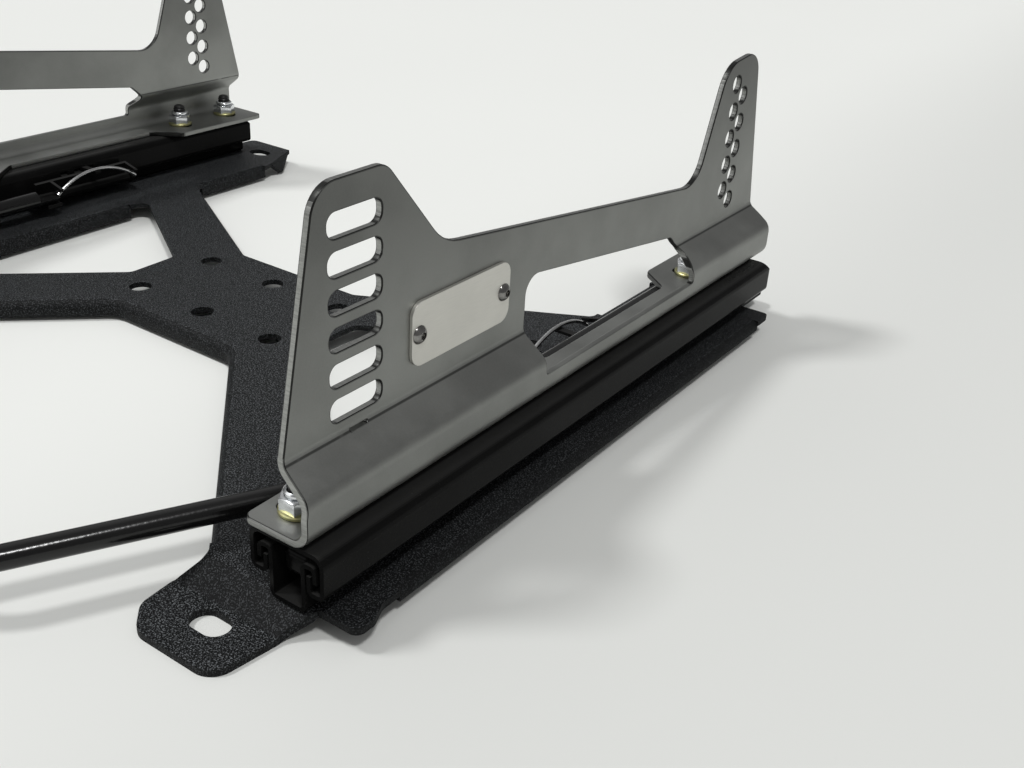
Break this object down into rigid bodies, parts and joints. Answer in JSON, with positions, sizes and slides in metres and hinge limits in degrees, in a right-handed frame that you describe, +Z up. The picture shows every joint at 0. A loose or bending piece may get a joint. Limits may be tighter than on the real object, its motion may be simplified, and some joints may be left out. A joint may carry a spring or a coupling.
{
  "type": "sliding seat mount",
  "caption": "Cross-shaped black base plate with two ball slides, a release bar and two grey side mounts with slots and holes for a bucket seat.",
  "frame": {"origin": "on the floor plane, midway between the two front foot slots", "axes": "+X to the side with the badge, +Y towards the rear, +Z up"},
  "size_m": [0.473, 0.4797, 0.1575],
  "materials": {
    "base_coat": "black powder coat with a fine sparkling texture",
    "rail_coat": "smooth semi-gloss black coating",
    "mount_steel": "bare grey steel plate with a fine grain and bright cut edges",
    "pin_steel": "plain steel",
    "spring_wire": "bright spring wire",
    "stud_black": "black oxide",
    "yellow_zinc": "yellow zinc plating",
    "bright_zinc": "bright zinc plating",
    "ball_steel": "polished bearing steel",
    "spacer_plastic": "plain nylon",
    "bar_gloss": "gloss black coating",
    "badge_metal": "bright fine-brushed sheet, bare",
    "screw_steel": "bright steel"
  },
  "bodies": {
    "base": {"base_plate": "base_coat", "lower_rail_right": "rail_coat", "lower_rail_left": "rail_coat", "base_bolts_right": "stud_black", "base_bolts_left": "stud_black", "base_nuts_right": "bright_zinc", "base_nuts_left": "bright_zinc", "end_bumpers_right": "rail_coat", "end_bumpers_left": "rail_coat"},
    "carriage_right": {"upper_rail_right": "rail_coat", "side_mount_right": "mount_steel", "rail_studs_right": "stud_black", "rail_washers_right": "yellow_zinc", "rail_nuts_right": "bright_zinc", "lock_pin_right": "pin_steel", "lock_spring_right": "spring_wire", "release_pivot_right": "pin_steel", "badge_plate": "badge_metal", "badge_screws": "screw_steel"},
    "carriage_left": {"upper_rail_left": "rail_coat", "side_mount_left": "mount_steel", "rail_studs_left": "stud_black", "rail_washers_left": "yellow_zinc", "rail_nuts_left": "bright_zinc", "lock_pin_left": "pin_steel", "lock_spring_left": "spring_wire", "release_pivot_left": "pin_steel"},
    "balls_right": {"slide_balls_right": "ball_steel", "ball_spacers_right": "spacer_plastic"},
    "balls_left": {"slide_balls_left": "ball_steel", "ball_spacers_left": "spacer_plastic"},
    "lock_right": {"lock_plate_right": "rail_coat"},
    "lock_left": {"lock_plate_left": "rail_coat"},
    "release": {"release_bar": "bar_gloss"}
  },
  "joints": [
    {"name": "slide_right", "type": "slide", "parent": "base", "child": "carriage_right", "axis": [0, 1, 0], "range_m": [-0.09, 0.09]},
    {"name": "slide_left", "type": "slide", "parent": "base", "child": "carriage_left", "axis": [0, 1, 0], "range_m": [-0.09, 0.09]},
    {"name": "ball_roll_right", "type": "slide", "parent": "base", "child": "balls_right", "axis": [0, 1, 0], "range_m": [-0.045, 0.045]},
    {"name": "ball_roll_left", "type": "slide", "parent": "base", "child": "balls_left", "axis": [0, 1, 0], "range_m": [-0.045, 0.045]},
    {"name": "release_lift", "type": "hinge", "parent": "carriage_right", "child": "release", "pos_m": [0, 0.14, 0.024], "axis": [-1, 0, 0], "range_deg": [-1.9, 0], "stiffness_Nm_per_rad": 12, "springref_deg": -5.16},
    {"name": "lock_turn_right", "type": "hinge", "parent": "carriage_right", "child": "lock_right", "pos_m": [0.1862, 0.228, 0.02], "axis": [0, -1, 0], "range_deg": [-14, 0], "deforming": ["lock_spring_right"]},
    {"name": "lock_turn_left", "type": "hinge", "parent": "carriage_left", "child": "lock_left", "pos_m": [-0.1862, 0.228, 0.02], "axis": [0, 1, 0], "range_deg": [-14, 0], "deforming": ["lock_spring_left"]}
  ],
  "couplings": [
    {"joint": "slide_left", "follows": "slide_right", "ratio": 1},
    {"joint": "ball_roll_right", "follows": "slide_right", "ratio": 0.5},
    {"joint": "ball_roll_left", "follows": "slide_right", "ratio": 0.5},
    {"joint": "lock_turn_right", "follows": "release_lift", "ratio": 7.1053},
    {"joint": "lock_turn_left", "follows": "release_lift", "ratio": 7.1053}
  ]
}
